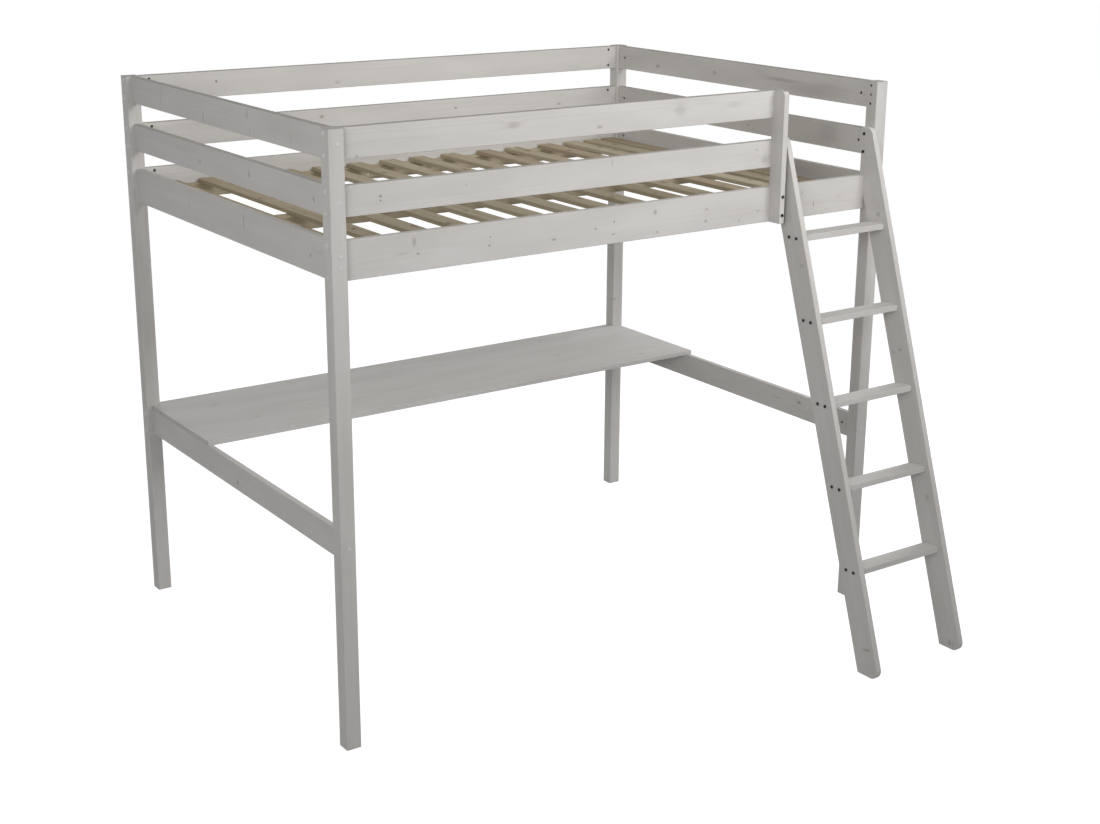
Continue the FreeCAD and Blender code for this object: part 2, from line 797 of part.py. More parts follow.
nodes = {}
for label, plank in boards.items():
    nodes[label] = plank
    if drilled[label]:
        nodes[label] = cut(f"{label}_drilled", plank, gathered(f"{label}_holes", drilled[label]))
for label, copies in fastened.items():
    nodes[label] = gathered(f"{label}_group", copies)
for label, node in nodes.items():
    node.Label = label
doc.recompute()

for thing in doc.Objects:
    if "Invalid" in thing.State or "Error" in thing.State:
        raise RuntimeError(f"{thing.Label} could not be made: {thing.State}")
for label, node in nodes.items():
    if node.Shape.isNull() or not node.Shape.isValid():
        raise RuntimeError(f"{label} has no sound shape")
    if label in boards and len(node.Shape.Solids) != 1:
        raise RuntimeError(f"{label} came out in {len(node.Shape.Solids)} solids")

os.makedirs("parts", exist_ok=True)
for label, node in nodes.items():
    node.Shape.exportStep(f"parts/{label}.step")
print(len(nodes), "pieces,", sum(len(node.Shape.Solids) for node in nodes.values()), "solids")
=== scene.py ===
# %% [markdown]
# # A limewashed loft bed with a desk and a leaning ladder
# The bed is bolted together from planed pine boards under a thin grey-white limewash, round a deck of bare
# pine slats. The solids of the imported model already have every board, hole and rounding, so they stay where
# they are and this lesson gives them their finishes. What the solids hold only as plain turned shapes, the
# caps and the screw heads, is made again here with its moulding, sockets and recesses.

# %% Load the solids and keep their box
import math
import random

import bmesh
import bpy
import numpy as np
from mathutils import Matrix, Vector


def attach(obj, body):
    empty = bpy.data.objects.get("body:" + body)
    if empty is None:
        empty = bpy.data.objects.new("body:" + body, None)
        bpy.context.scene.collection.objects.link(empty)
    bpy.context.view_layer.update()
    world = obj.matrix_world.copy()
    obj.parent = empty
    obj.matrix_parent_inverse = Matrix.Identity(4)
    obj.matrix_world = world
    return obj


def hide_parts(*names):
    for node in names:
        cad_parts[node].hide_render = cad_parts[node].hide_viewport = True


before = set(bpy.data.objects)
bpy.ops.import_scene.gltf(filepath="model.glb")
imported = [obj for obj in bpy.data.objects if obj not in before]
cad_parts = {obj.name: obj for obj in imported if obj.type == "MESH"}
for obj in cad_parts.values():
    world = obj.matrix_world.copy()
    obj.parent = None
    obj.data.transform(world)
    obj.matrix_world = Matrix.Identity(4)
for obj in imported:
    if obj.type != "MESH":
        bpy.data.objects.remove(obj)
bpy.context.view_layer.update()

# %% [markdown]
# ## Measuring a board
# A pattern of wood has to run along the length of the board it is cut from, and each board lies its own way:
# along the bed, across it, upright or leaning. The solids carry no such direction, so each board is measured:
# its longest side is the grain, the next its width, the last its thickness. The ladder's stiles lean, so their
# grain is given by the angle. All later patterns are then drawn in the board's own place: along, across and
# through it, from its middle.

# %% Axes, middle and half sizes of every board
MM = 0.001
LADDER_LEAN = math.radians(18.3)
STILE_GRAIN = Vector((0, math.sin(LADDER_LEAN), math.cos(LADDER_LEAN)))
STILE_ACROSS = Vector((0, math.cos(LADDER_LEAN), -math.sin(LADDER_LEAN)))
WORLD_AXES = (Vector((1, 0, 0)), Vector((0, 1, 0)), Vector((0, 0, 1)))

rails = [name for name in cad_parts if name.endswith("_rail")]
posts = [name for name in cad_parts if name.startswith("post_")] + ["guard_post"]
stiles = ["left_stile", "right_stile"]
treads = [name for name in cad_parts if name.startswith("tread_")]
slats = [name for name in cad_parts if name.startswith("slat_") and name[-1].isdigit()]
deck_bars = ["front_slat_ledger", "rear_slat_ledger", "centre_beam", "left_beam_cleat", "right_beam_cleat"]


def corners_of(name):
    """All corner points of a solid, as rows of numbers in metres."""
    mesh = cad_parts[name].data
    points = np.empty(len(mesh.vertices) * 3, np.float32)
    mesh.vertices.foreach_get("co", points)
    return points.reshape(-1, 3)


def measure_board(name):
    """The board's turn (rows: along, across, through), its middle and half its sizes."""
    points = corners_of(name)
    spans = points.max(0) - points.min(0)
    if name in stiles:
        along, across = STILE_GRAIN, STILE_ACROSS
    else:
        order = sorted(range(3), key=lambda axis: -spans[axis])
        along, across = WORLD_AXES[order[0]], WORLD_AXES[order[1]]
    turn = Matrix((along, across, along.cross(across)))
    turned = points @ np.array(turn).T
    low, high = turned.min(0), turned.max(0)
    return turn, Vector((low + high) / 2), Vector((high - low) / 2)


all_boards = rails + posts + stiles + treads + slats + deck_bars + ["desk_top"]
boards = {name: measure_board(name) for name in all_boards}
print("boards measured:", len(boards))
print("front bed rail, half sizes:", [round(v, 4) for v in boards["front_bed_rail"][2]])

# %% [markdown]
# ## A bench for node trees
# Node materials are long when each node is set by hand. A small bench keeps them readable: every call adds one
# node, feeds it sockets or plain values, and gives back the socket that comes out.


# %% Bench that adds and joins nodes
class Bench:
    """Adds nodes to one tree. An input takes a socket of another node, or a plain value."""

    def __init__(self, tree):
        self.tree = tree

    def node(self, kind, **settings):
        made = self.tree.nodes.new(kind)
        for name, value in settings.items():
            setattr(made, name, value)
        return made

    def feed(self, socket, value):
        if isinstance(value, bpy.types.NodeSocket):
            self.tree.links.new(value, socket)
        else:
            socket.default_value = value

    def math(self, operation, *values, clamp=False):
        made = self.node("ShaderNodeMath", operation=operation, use_clamp=clamp)
        for socket, value in zip(made.inputs, values):
            self.feed(socket, value)
        return made.outputs[0]

    def vector(self, operation, *values):
        made = self.node("ShaderNodeVectorMath", operation=operation)
        for socket, value in zip(made.inputs, values):
            self.feed(socket, value)
        return made.outputs["Value" if operation == "LENGTH" else "Vector"]

    def noise(self, place, stretch, detail=2.0, output="Fac"):
        """Soft noise, its scale per metre given apart for along, across and through."""
        made = self.node("ShaderNodeTexNoise", noise_dimensions="3D")
        self.feed(made.inputs["Vector"], self.vector("MULTIPLY", place, stretch))
        self.feed(made.inputs["Scale"], 1.0)
        self.feed(made.inputs["Detail"], detail)
        return made.outputs[output]

    def fade(self, value, start, end, first=0.0, last=1.0):
        """Goes smoothly from first to last while value goes from start to end."""
        made = self.node("ShaderNodeMapRange", interpolation_type="SMOOTHSTEP")
        for socket, given in zip(made.inputs, (value, start, end, first, last)):
            self.feed(socket, given)
        return made.outputs[0]

    def blend(self, share, first, second, way="MIX"):
        """Mixes two colours."""
        made = self.node("ShaderNodeMix", data_type="RGBA", blend_type=way)
        for number, given in ((0, share), (6, first), (7, second)):
            self.feed(made.inputs[number], given)
        return made.outputs[2]


def new_finish(name):
    """An empty material: its bench, its shader and the Object coordinates."""
    finish = bpy.data.materials.new(name)
    finish.use_nodes = True
    bench = Bench(finish.node_tree)
    shader = finish.node_tree.nodes["Principled BSDF"]
    place = bench.node("ShaderNodeTexCoord").outputs["Object"]
    return finish, bench, shader, place


def raise_surface(bench, shader, height, depth, strength=0.5):
    """Turns a height pattern into a bump of that depth in metres."""
    bump = bench.node("ShaderNodeBump")
    bench.feed(bump.inputs["Height"], height)
    bench.feed(bump.inputs["Distance"], depth)
    bench.feed(bump.inputs["Strength"], strength)
    bench.feed(shader.inputs["Normal"], bump.outputs["Normal"])


# %% [markdown]
# ## How pine grows
# A board is cut out of a round trunk, so its pattern is not painted on: it is a slice through rings round a
# pith that lies outside or inside the board. Drawing the rings in three dimensions gives long arches on the
# faces, close lines on the edges and arcs on the ends, all joined at the corners as on real timber. A wave
# texture could draw stripes, but they would not meet at the corners. One shared group holds the growth: the
# dark late wood of each ring, fine fibres, and broad streaks.

# %% Growth of pine: rings, fibres and streaks
RING_WIDTH = 3.6 * MM
TRUNK_SWAY = 9 * MM
# Shares of a year: where the dark late wood starts, where it is darkest, and where it stops
LATE_STARTS, LATE_DARKEST, LATE_STOPS = 0.35, 0.9, 0.93
# Noise per metre along, across and through the board
SWAY_STRETCH = (1.3, 6.0, 6.0)
STREAK_STRETCH = (0.9, 30.0, 30.0)
FIBRE_STRETCH = (35.0, 900.0, 900.0)


def pine_growth():
    tree = bpy.data.node_groups.new("pine_growth", "ShaderNodeTree")
    for label, kind in (("Place", "NodeSocketVector"), ("Pith", "NodeSocketVector"), ("Bend", "NodeSocketFloat")):
        tree.interface.new_socket(label, in_out="INPUT", socket_type=kind)
    for label in ("Late", "Fibre", "Streak"):
        tree.interface.new_socket(label, in_out="OUTPUT", socket_type="NodeSocketFloat")
    bench = Bench(tree)
    given = bench.node("NodeGroupInput").outputs
    result = bench.node("NodeGroupOutput").inputs
    drift = bench.noise(given["Place"], SWAY_STRETCH, 1.0, "Color")
    drift = bench.vector("MULTIPLY", bench.vector("SUBTRACT", drift, (0.5, 0.5, 0.5)), (0, TRUNK_SWAY, TRUNK_SWAY))
    out = bench.vector("SUBTRACT", bench.vector("ADD", given["Place"], drift), given["Pith"])
    radius = bench.vector("LENGTH", bench.vector("MULTIPLY", out, (0, 1, 1)))
    radius = bench.math("ADD", radius, given["Bend"])
    year = bench.math("FRACT", bench.math("DIVIDE", radius, RING_WIDTH))
    late = bench.fade(year, LATE_STARTS, LATE_DARKEST)
    late = bench.math("MULTIPLY", late, bench.fade(year, 1.0, LATE_STOPS))
    streak = bench.noise(given["Place"], STREAK_STRETCH, 3.0)
    bench.feed(result["Late"], bench.math("MULTIPLY", late, bench.fade(streak, 0.25, 0.7, 0.35, 1.0)))
    bench.feed(result["Fibre"], bench.noise(given["Place"], FIBRE_STRETCH, 2.0))
    bench.feed(result["Streak"], streak)
    return tree


growth = pine_growth()
print("growth group nodes:", len(growth.nodes))

# %% [markdown]
# ## Knots
# A knot is where a branch left the trunk. On a flat board it shows as a small dark oval, and the rings part
# round it; where the saw ran along the branch it is a long spike across the board. Under limewash the small hard
# ones stay crisp and the wide ones are only soft grey clouds. The knots that stand out on this bed are listed, in
# millimetres of the bed's frame: along the board's grain, across it, then half the width and the length
# of the knot as a share of it, and how faint it is, from 0 to 1. Boards that show none get a few of their own,
# drawn with a fixed seed.

# %% Where the knots are
SEEN_KNOTS = {
    "front_top_rail": (
        (-437, 1803, 11, 2.0, 0.72), (-946, 1757, 5, 1.6, 0.6), (174, 1803, 20, 1.2, 0.78), (168, 1800, 5, 1.4, 0.7),
        (-131, 1775, 4, 2.6, 0.5), (390, 1806, 10, 3.2, 0.88), (-20, 1812, 6, 2.5, 1.0),
    ),
    "front_mid_rail": (
        (-876, 1642, 3.5, 1.4, 0.2), (-876, 1630, 2.5, 1.2, 0.1), (-599, 1646, 2, 1.0, 0.0),
        (526, 1622, 17, 1.1, 0.72), (490, 1656, 3, 2.4, 0.5), (-83, 1664, 12, 0.25, 0.75), (545, 1630, 6, 1.0, 0.7),
    ),
    "front_bed_rail": (
        (-771, 1502, 14, 0.5, 0.55), (-758, 1467, 3, 2.0, 0.2), (-517, 1488, 3, 0.9, 0.0), (-521, 1463, 3, 1.0, 0.0),
        (-294, 1455, 4, 2.4, 0.35), (85, 1497, 10, 0.7, 0.45), (-72, 1484, 3.5, 0.8, 0.0), (-142, 1470, 3, 1.3, 0.1),
        (-74, 1446, 4, 1.8, 0.45), (95, 1433, 4, 1.0, 0.3), (290, 1485, 5, 1.3, 0.55), (288, 1448, 6, 1.0, 0.5),
        (505, 1458, 5, 1.8, 0.55), (427, 1433, 6, 0.7, 0.65), (746, 1456, 12, 0.22, 0.3), (695, 1498, 7, 1.0, 0.8),
        (859, 1469, 6, 1.4, 0.85), (-810, 1472, 4, 6.0, 0.8),
    ),
    "rear_top_rail": ((-715, 1804, 5, 1.2, 0.1), (-249, 1772, 6, 1.8, 0.7)),
    "rear_mid_rail": ((-317, 1654, 6, 1.4, 0.35), (243, 1647, 4, 2.0, 0.3), (718, 1630, 5, 2.0, 0.35)),
    "left_top_rail": (
        (392, 1776, 20, 0.22, 0.55), (76, 1816, 14, 0.4, 0.55), (723, 1800, 34, 0.08, 0.75),
        (-204, 1778, 26, 0.1, 0.75), (62, 1770, 10, 0.3, 0.6),
    ),
    "left_mid_rail": ((434, 1630, 8, 1.2, 0.65), (79, 1640, 10, 0.8, 0.5), (-334, 1630, 9, 0.5, 0.3)),
    "left_bed_rail": ((538, 1482, 9, 0.8, 0.8), (133, 1490, 30, 0.12, 0.6), (-303, 1468, 6, 0.8, 0.35)),
    "left_desk_rail": ((269, 622, 10, 0.5, 0.4),),
    "right_top_rail": (
        (720, 1782, 7, 1.8, 0.4), (380, 1789, 8, 1.3, 0.45), (-10, 1800, 7, 14.0, 0.62), (-150, 1786, 24, 7.0, 0.8),
    ),
    "right_mid_rail": ((610, 1640, 7, 1.3, 0.6), (180, 1622, 6, 1.6, 0.6), (-235, 1640, 40, 1.3, 0.85)),
    "right_bed_rail": ((-60, 1495, 22, 9.0, 0.82), (520, 1470, 7, 1.4, 0.5)),
    "right_desk_rail": ((-158, 651, 6, 1.8, 0.25), (-40, 640, 3, 8.0, 0.7)),
    "desk_top": (
        (-834, 858, 8, 2.0, 0.75), (-769, 654, 5, 1.8, 0.45), (-548, 679, 6, 2.2, 0.7), (538, 718, 5, 4.0, 0.6),
        (827, 560, 7, 2.6, 0.7), (142, 627, 5, 3.0, 0.75), (-300, 700, 3, 14.0, 0.65), (690, 610, 3, 9.0, 0.7),
    ),
    "post_rear_right": ((808, 1000, 8, 0.6, 0.5),),
}
# On a leaning stile the two places are measured from its own middle, along and across the plank
STILE_KNOTS = {
    "left_stile": ((465, -20, 10, 0.8, 0.8), (-797, -14, 18, 0.3, 0.5), (-700, 8, 5, 1.0, 0.9)),
    "right_stile": (
        (594, -10, 9, 0.9, 0.55), (135, -4, 8, 0.9, 0.6), (130, 26, 7, 1.0, 0.75), (-367, -15, 9, 1.0, 0.65),
        (-866, -4, 4, 3.0, 0.3), (-872, -16, 4, 2.5, 0.6),
    ),
}


# Knots that are drawn: how near to the ends and edges they come, in half sizes, and how long they are
KNOTS_ALONG, KNOTS_ACROSS = 0.9, 0.75
KNOT_LENGTHS = (0.7, 1.9)


def knots_of(name, most, broad, faint):
    """The board's knots in metres from its middle. What isn't listed is drawn with the board's name as seed."""
    _, middle, half = boards[name]
    if name in STILE_KNOTS:
        return [(a * MM, b * MM, r * MM, s, f) for a, b, r, s, f in STILE_KNOTS[name]]
    if name in SEEN_KNOTS:
        return [(a * MM - middle[0], b * MM - middle[1], r * MM, s, f) for a, b, r, s, f in SEEN_KNOTS[name]]
    draw = random.Random("pine " + name)
    found = []
    for _ in range(draw.randint(most // 2, most)):
        along = draw.uniform(-KNOTS_ALONG, KNOTS_ALONG) * half[0]
        across = draw.uniform(-KNOTS_ACROSS, KNOTS_ACROSS) * half[1]
        found.append((along, across, draw.uniform(*broad) * MM, draw.uniform(*KNOT_LENGTHS), draw.uniform(*faint)))
    return found


# Reach of a knot's dark part and of its halo, in shares of its own size
FAINT_OUTER, FAINT_NARROWS = 1.9, -0.75
DARK_CORE = 0.7
HALO_OUTER, HALO_INNER = 3.2, 0.9


def knot_tree():
    """Adds one knot to those before it: the darker of both stays, and the wider bend of the rings."""
    tree = bpy.data.node_groups.new("knot", "ShaderNodeTree")
    for label in ("Place", "Middle", "Reach"):
        tree.interface.new_socket(label, in_out="INPUT", socket_type="NodeSocketVector")
    for label in ("Strength", "Dark", "Halo"):
        tree.interface.new_socket(label, in_out="INPUT", socket_type="NodeSocketFloat")
    for label in ("Dark", "Halo"):
        tree.interface.new_socket(label, in_out="OUTPUT", socket_type="NodeSocketFloat")
    bench = Bench(tree)
    given = bench.node("NodeGroupInput").outputs
    result = bench.node("NodeGroupOutput").inputs
    away = bench.vector("SUBTRACT", given["Place"], given["Middle"])
    away = bench.vector("LENGTH", bench.vector("DIVIDE", away, given["Reach"]))
    outer = bench.math("MULTIPLY_ADD", given["Strength"], FAINT_NARROWS, FAINT_OUTER)
    inner = bench.math("MULTIPLY", given["Strength"], DARK_CORE)
    dark = bench.fade(away, outer, inner, 0.0, given["Strength"])
    halo = bench.fade(away, HALO_OUTER, HALO_INNER, 0.0, given["Strength"])
    bench.feed(result["Dark"], bench.math("MAXIMUM", dark, given["Dark"]))
    bench.feed(result["Halo"], bench.math("MAXIMUM", halo, given["Halo"]))
    return tree


knot = knot_tree()
print("knots set by hand:", sum(map(len, SEEN_KNOTS.values())) + sum(map(len, STILE_KNOTS.values())))

# %% [markdown]
# ## One board in its own place
# Every board's material starts alike: a Mapping node turns the Object coordinates to the board's own place, the
# knots' outlines are made a little uneven, and the growth bends round them. The distance to the long edges and
# ends comes from the board's sizes, for the wear there. How far each pith lies from the board is drawn with a
# fixed seed, so no two boards show the same arches.


# %% Pattern of one board: growth, knots, edges
# A knot goes right through its board, and the faintest one still keeps a little of its strength
THROUGH = 100.0
FAINTEST = 0.85
# How fine the unevenness of a knot's outline is per metre, how far it goes, and how far rings bend round knots
UNEVEN_FINENESS = (70.0, 110.0, 110.0)
UNEVEN_REACH = (9 * MM, 6 * MM, 0)
RING_BEND = 4 * MM
# Distance of the pith from the board in millimetres, and where wear and shade start and are full at the edges
PITH_DISTANCE = (20, 70)
CORNER_WEAR = (4 * MM, 0.5 * MM)
END_SHADE = (2 * MM, 0.5 * MM)
TOP_SHADE = (2.2 * MM, 0.8 * MM)


def board_pattern(bench, place, name, knots):
    turn, middle, half = boards[name]
    mapping = bench.node("ShaderNodeMapping", vector_type="POINT")
    bench.feed(mapping.inputs["Vector"], place)
    mapping.inputs["Rotation"].default_value = turn.to_euler("XYZ")
    mapping.inputs["Location"].default_value = -middle
    own = mapping.outputs["Vector"]
    draw = random.Random("pith " + name)
    cut_from = Vector([draw.uniform(-9, 9) for _ in range(3)])
    pith_aside = draw.uniform(-0.5, 0.5) * half[1]
    pith_under = draw.choice((-1, 1)) * draw.uniform(*PITH_DISTANCE) * MM
    off_pith = Vector((0, pith_aside, pith_under))
    trunk = bench.vector("ADD", own, cut_from)
    uneven = bench.vector("SUBTRACT", bench.noise(trunk, UNEVEN_FINENESS, 2.0, "Color"), (0.5, 0.5, 0.5))
    warped = bench.vector("ADD", own, bench.vector("MULTIPLY", uneven, UNEVEN_REACH))
    dark, halo = 0.0, 0.0
    for along, across, radius, length_share, faint in knots:
        mark = bench.node("ShaderNodeGroup", node_tree=knot)
        bench.feed(mark.inputs["Place"], warped)
        bench.feed(mark.inputs["Middle"], (along, across, 0))
        bench.feed(mark.inputs["Reach"], (radius * length_share, radius, THROUGH))
        bench.feed(mark.inputs["Strength"], 1 - FAINTEST * faint)
        bench.feed(mark.inputs["Dark"], dark)
        bench.feed(mark.inputs["Halo"], halo)
        dark, halo = mark.outputs["Dark"], mark.outputs["Halo"]
    grown = bench.node("ShaderNodeGroup", node_tree=growth)
    bench.feed(grown.inputs["Place"], trunk)
    bench.feed(grown.inputs["Pith"], cut_from + off_pith)
    bench.feed(grown.inputs["Bend"], bench.math("MULTIPLY", halo, RING_BEND))
    split = bench.node("ShaderNodeSeparateXYZ")
    bench.feed(split.inputs[0], own)
    to_end, to_edge, to_face = (
        bench.math("SUBTRACT", size, bench.math("ABSOLUTE", side)) for size, side in zip(half, split.outputs)
    )
    return {
        "trunk": trunk,
        "late": grown.outputs["Late"],
        "fibre": grown.outputs["Fibre"],
        "streak": grown.outputs["Streak"],
        "knot": dark,
        "halo": halo,
        "corner": bench.fade(bench.math("MAXIMUM", to_edge, to_face), *CORNER_WEAR),
        "end": bench.fade(to_end, *END_SHADE),
        "top": bench.fade(bench.math("SUBTRACT", half[1], split.outputs[1]), *TOP_SHADE),
    }


def give_finish(name, finish):
    """Puts a material on every slot of a solid."""
    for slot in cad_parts[name].material_slots:
        slot.material = finish


# %% [markdown]
# ## Limewash
# Limewash is a thin coat of white pigment brushed along the grain and wiped. It stays thick in the soft early
# wood, thinner over hard late wood and knots, and it is rubbed at the corners, so the wood shows through there.
# A plain grey paint would hide all that. The coat is therefore a share that covers the wood under it: brush
# streaks, rings, knots and worn corners each take some of that share away. The sawn ends drank the coat and stayed
# darker; the upper narrow edges of the rails are coloured darker too, most of all on the highest rails. The spare
# bores at the head of the front right post, in line with the front top rail, get painted shade: their walls and a
# narrow rim are coloured dark grey-brown right through the post, so the middle one, with no bore in the solid, is
# only a painted dark spot, on both faces of the post.

# %% Limewashed boards
EARLY_WOOD = (0.64, 0.50, 0.33, 1)
LATE_WOOD = (0.40, 0.26, 0.14, 1)
KNOT_WOOD = (0.155, 0.100, 0.048, 1)
WASH = (0.607, 0.604, 0.600, 1)
WASH_SHADE = (0.553, 0.547, 0.543, 1)
# Darker colour of the sawn ends and upper rail edges, also used as painted shade in the spare bores
SAWN_END_AND_PAINTED_SHADE = (0.16, 0.145, 0.125, 1)
GRAIN_DEPTH = 0.3 * MM
BRUSH_STRETCH = (2.5, 160.0, 160.0)
PATCH_STRETCH = (3.0, 14.0, 14.0)
WASH_ROUGHNESS = (0.55, 0.72)
RUBBED_SMOOTHER = 0.12
WASH_SPECULAR = 0.35
# How much of the coat each mark takes away
THIN_OVER_LATE_WOOD = 0.06
THIN_IN_BRUSH_MARKS = 0.05
THIN_ROUND_KNOTS = 0.03
THIN_ON_FAINT_KNOTS, THIN_ON_DARK_KNOTS = 0.2, 0.45
THIN_ON_CORNERS = 0.14
# Radius of the painted shade round each spare bore's axis, and how far it fades
PAINTED_SHADE_RIM, PAINTED_SHADE_FADE = 4.4 * MM, 0.4 * MM


def limewashed(name, coat=0.92, dark_top=0.0, dark_end=0.22, most_knots=4, bores=()):
    finish, bench, shader, place = new_finish("limewash_" + name)
    seen = board_pattern(bench, place, name, knots_of(name, most_knots, (3, 8), (0.4, 0.9)))
    wood = bench.blend(seen["late"], EARLY_WOOD, LATE_WOOD)
    wood = bench.blend(bench.fade(seen["knot"], 0.0, 0.35), wood, KNOT_WOOD)
    brush = bench.noise(seen["trunk"], BRUSH_STRETCH, 3.0)
    patch = bench.noise(seen["trunk"], PATCH_STRETCH, 2.0)
    wash = bench.blend(bench.fade(patch, 0.30, 0.75), WASH, WASH_SHADE)
    cover = bench.math("SUBTRACT", coat, bench.math("MULTIPLY", seen["late"], THIN_OVER_LATE_WOOD))
    cover = bench.math("SUBTRACT", cover, bench.fade(brush, 0.5, 0.8, 0.0, THIN_IN_BRUSH_MARKS))
    cover = bench.math("SUBTRACT", cover, bench.math("MULTIPLY", seen["halo"], THIN_ROUND_KNOTS))
    bare = bench.math("MULTIPLY_ADD", seen["knot"], THIN_ON_DARK_KNOTS, THIN_ON_FAINT_KNOTS)
    cover = bench.math("SUBTRACT", cover, bench.math("MULTIPLY", seen["knot"], bare))
    rubbed = bench.math("MULTIPLY", seen["corner"], bench.fade(brush, 0.35, 0.7))
    cover = bench.math("SUBTRACT", cover, bench.math("MULTIPLY", rubbed, THIN_ON_CORNERS), clamp=True)
    colour = bench.blend(cover, wood, wash)
    shade = bench.math("MULTIPLY", seen["end"], dark_end)
    # The upper narrow edge of each rail is coloured darker, by how high the rail is
    if dark_top:
        shade = bench.math("MAXIMUM", shade, bench.math("MULTIPLY", seen["top"], dark_top))
    # Painted shade in the spare bores: dark within a radius of each axis, right through the post
    for middle in bores:
        aside = bench.vector("MULTIPLY", bench.vector("SUBTRACT", place, middle), (0, 1, 1))
        painted_bore_shade = bench.fade(bench.vector("LENGTH", aside), PAINTED_SHADE_RIM + PAINTED_SHADE_FADE, PAINTED_SHADE_RIM)
        shade = bench.math("MAXIMUM", shade, painted_bore_shade)
    colour = bench.blend(shade, colour, SAWN_END_AND_PAINTED_SHADE)
    bench.feed(shader.inputs["Base Color"], colour)
    rough = bench.fade(seen["fibre"], 0.3, 0.7, *WASH_ROUGHNESS)
    rough = bench.math("SUBTRACT", rough, bench.math("MULTIPLY", rubbed, RUBBED_SMOOTHER))
    bench.feed(shader.inputs["Roughness"], rough)
    shader.inputs["Specular IOR Level"].default_value = WASH_SPECULAR
    height = bench.math("SUBTRACT", seen["fibre"], bench.math("MULTIPLY", seen["late"], 0.5))
    height = bench.math("SUBTRACT", height, bench.math("MULTIPLY", seen["knot"], 0.5))
    raise_surface(bench, shader, height, GRAIN_DEPTH)
    give_finish(name, finish)


# How much darker the upper edge of each level of rails is coloured
RAIL_TOP_SHADES = {"top": 0.68, "mid": 0.5, "bed": 0.2, "desk": 0.0}
POST_END_SHADE = 0.5
DESK_COAT = 0.95
SPARE_BORE_RISES = (-30 * MM, 0, 30 * MM)
for name in rails:
    level = name.split("_")[1]
    limewashed(name, dark_top=RAIL_TOP_SHADES[level])
# Painted shade on the spare bores of the front right post, on axes in line with the front top rail
rail_corners = corners_of("front_top_rail")
rail_middle = Vector((rail_corners.min(0) + rail_corners.max(0)) / 2)
bores_given_painted_shade = {"post_front_right": [rail_middle + Vector((0, 0, rise)) for rise in SPARE_BORE_RISES]}
for name in posts:
    limewashed(name, dark_end=POST_END_SHADE, most_knots=0, bores=bores_given_painted_shade.get(name, ()))
for name in stiles + treads:
    limewashed(name, most_knots=0)
limewashed("desk_top", coat=DESK_COAT)
print("limewashed boards:", len(rails + posts + stiles + treads) + 1)

# %% [markdown]
# ## Bare pine of the slat deck
# The slats, the ledgers under them and the middle beam are sorted for strength and not for looks: bare, a
# little rough from the planer, with plain dark knots and boards of several shades, from grey-yellow to brown.
# They use the same growth, with no coat, a shade drawn per board and faint planer marks across the grain.

# %% Bare pine boards
PALE_PINE = (0.50, 0.435, 0.305)
BROWN_PINE = (0.40, 0.320, 0.215)
BARE_LATE = (0.30, 0.225, 0.135, 1)
BARE_KNOT = (0.095, 0.060, 0.036, 1)
WORN_PINE = (0.56, 0.50, 0.38, 1)
PLANER_MARK = 5 * MM
ROUGH_GRAIN_DEPTH = 0.4 * MM
PINE_ROUGHNESS = (0.58, 0.80)
PINE_SPECULAR = 0.3
# How strongly each mark shows
LATE_SHOWS, STREAK_SHOWS, HALO_SHOWS, KNOT_SHOWS, WEAR_SHOWS = 0.5, 0.35, 0.3, 0.85, 0.25


def bare_pine(name):
    finish, bench, shader, place = new_finish("bare_pine_" + name)
    seen = board_pattern(bench, place, name, knots_of(name, 6, (5, 11), (0.1, 0.5)))
    brown = random.Random("shade " + name).random() ** 1.5
    early = tuple(a + (b - a) * brown for a, b in zip(PALE_PINE, BROWN_PINE)) + (1,)
    colour = bench.blend(bench.math("MULTIPLY", seen["late"], LATE_SHOWS), early, BARE_LATE)
    streak = bench.fade(seen["streak"], 0.52, 0.75, 0.0, STREAK_SHOWS)
    colour = bench.blend(streak, colour, (*BROWN_PINE, 1), "MULTIPLY")
    colour = bench.blend(bench.math("MULTIPLY", seen["halo"], HALO_SHOWS), colour, BARE_LATE)
    colour = bench.blend(bench.math("MULTIPLY", seen["knot"], KNOT_SHOWS), colour, BARE_KNOT)
    worn = bench.math("MULTIPLY", seen["corner"], WEAR_SHOWS)
    colour = bench.blend(worn, colour, WORN_PINE)
    bench.feed(shader.inputs["Base Color"], colour)
    bench.feed(shader.inputs["Roughness"], bench.fade(seen["fibre"], 0.25, 0.75, *PINE_ROUGHNESS))
    shader.inputs["Specular IOR Level"].default_value = PINE_SPECULAR
    planed = bench.node("ShaderNodeTexWave", wave_type="BANDS", bands_direction="X", wave_profile="SIN")
    bench.feed(planed.inputs["Vector"], seen["trunk"])
    bench.feed(planed.inputs["Scale"], 1 / (PLANER_MARK * 20))
    bench.feed(planed.inputs["Distortion"], 1.0)
    height = bench.math("MULTIPLY_ADD", planed.outputs["Fac"], 0.25, seen["fibre"])
    height = bench.math("SUBTRACT", height, bench.math("MULTIPLY", seen["late"], 0.4))
    raise_surface(bench, shader, height, ROUGH_GRAIN_DEPTH)
    give_finish(name, finish)


for name in slats + deck_bars:
    bare_pine(name)
print("bare pine boards:", len(slats + deck_bars))

# %% [markdown]
# ## Small parts: beech, zinc, blackened steel, plastic
# The dowels are turned beech with short flecks. Nuts, bolts and angles are zinc plated: a pale metal in faint
# cloudy patches with fine scratches. The barrel nuts deep in their holes get painted shade instead, a very dark
# zinc. The screws of the ladder and the guard post are blackened steel, rubbed paler where a key or a hand has been.
# The caps are moulded from off-white plastic with a faint skin. All of them are small, so noise in millimetres is
# enough, and it drives the colour, the roughness and a slight bump.


